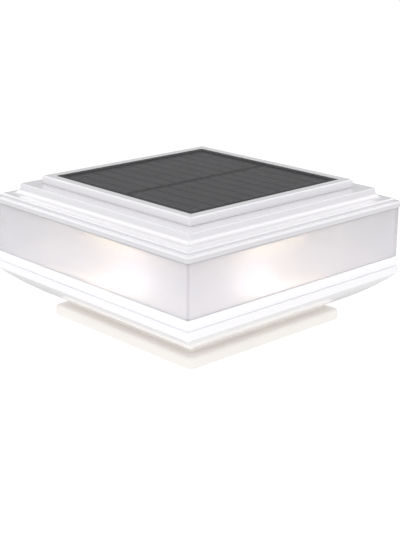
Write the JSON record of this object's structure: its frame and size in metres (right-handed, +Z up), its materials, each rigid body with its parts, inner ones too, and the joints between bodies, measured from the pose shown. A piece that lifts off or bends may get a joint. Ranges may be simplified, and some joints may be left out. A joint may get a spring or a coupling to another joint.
{
  "type": "solar post cap light",
  "caption": "Square solar post-cap light with a stepped cover, dark solar panel, clouded lens band, lit reflector, tapered housing and a collar plate for a square post.",
  "frame": {"origin": "middle of the mounting plate's underside, on the axis of the post", "axes": "+Z up along the post, -Y to the front side, the cell strips run along Y"},
  "size_m": [0.153, 0.153, 0.0773],
  "materials": {
    "cover_white": "glossy moulded white plastic with a faint cool tint",
    "housing_white": "glossy moulded white plastic",
    "plate_ivory": "satin warm white plastic",
    "lens_frost": "lightly clouded glossy acrylic with a faint lilac tint",
    "reflector_white": "satin white, lit by the lamps",
    "panel_sheet": "clear polished laminate sheet",
    "cell_silicon": "dark grey silicon with a soft sheen",
    "panel_black": "black laminate",
    "adhesive_foam": "closed-cell foam",
    "seal_rubber": "grey silicone rubber",
    "lamp_board_white": "white solder mask",
    "led_warm": "warm white lamp, lit",
    "board_green": "green solder mask",
    "can_aluminium": "drawn aluminium",
    "connector_ivory": "moulded nylon",
    "switch_black": "satin black plastic",
    "tray_grey": "satin grey plastic",
    "battery_wrap": "shrink-wrapped film",
    "contact_nickel": "nickel-plated steel",
    "screw_steel": "zinc-plated steel",
    "lead_red": "red wire insulation",
    "lead_black": "black wire insulation",
    "lead_white": "white wire insulation"
  },
  "bodies": {
    "plate": {"mounting_plate": "plate_ivory"},
    "lamp": {"lower_housing": "housing_white", "door_hinge_pin": "screw_steel", "battery_tray": "tray_grey", "battery_spring": "contact_nickel", "battery_contact": "contact_nickel", "battery": "battery_wrap", "switch_body": "switch_black", "lower_seal": "seal_rubber", "cover_seal": "seal_rubber", "lens": "lens_frost", "reflector": "reflector_white", "top_cover": "cover_white", "panel_cover_sheet": "panel_sheet", "cell_string_front": "cell_silicon", "cell_string_back": "cell_silicon", "panel_backing": "panel_black", "panel_adhesive": "adhesive_foam", "lamp_board_front": "lamp_board_white", "lamp_board_right": "lamp_board_white", "lamp_board_back": "lamp_board_white", "lamp_board_left": "lamp_board_white", "led_front_1": "led_warm", "led_front_2": "led_warm", "led_front_3": "led_warm", "led_right_1": "led_warm", "led_right_2": "led_warm", "led_right_3": "led_warm", "led_back_1": "led_warm", "led_back_2": "led_warm", "led_back_3": "led_warm", "led_left_1": "led_warm", "led_left_2": "led_warm", "led_left_3": "led_warm", "control_board": "board_green", "driver_chip": "switch_black", "inductor": "switch_black", "capacitor": "can_aluminium", "panel_connector": "connector_ivory", "case_screw_1": "screw_steel", "case_screw_2": "screw_steel", "case_screw_3": "screw_steel", "case_screw_4": "screw_steel", "board_screw_1": "screw_steel", "board_screw_2": "screw_steel", "panel_lead_red": "lead_red", "panel_lead_black": "lead_black", "battery_lead_red": "lead_red", "battery_lead_black": "lead_black", "switch_lead": "lead_white", "lamp_lead_front": "lead_white", "lamp_lead_right": "lead_white", "lamp_lead_back": "lead_white", "lamp_lead_left": "lead_white"},
    "door": {"battery_door": "housing_white"},
    "button": {"switch_cap": "switch_black"}
  },
  "joints": [
    {"name": "lamp_lift", "type": "slide", "parent": "plate", "child": "lamp", "axis": [0, 0, 1], "range_m": [0, 0.05]},
    {"name": "battery_door_hinge", "type": "hinge", "parent": "lamp", "child": "door", "pos_m": [0, -0.02265, 0.0311], "axis": [-1, 0, 0], "range_deg": [0, 85]},
    {"name": "switch_press", "type": "slide", "parent": "lamp", "child": "button", "axis": [0, 0, 1], "range_m": [0, 0.0015], "stiffness_N_per_m": 300, "springref_m": -0.001}
  ]
}
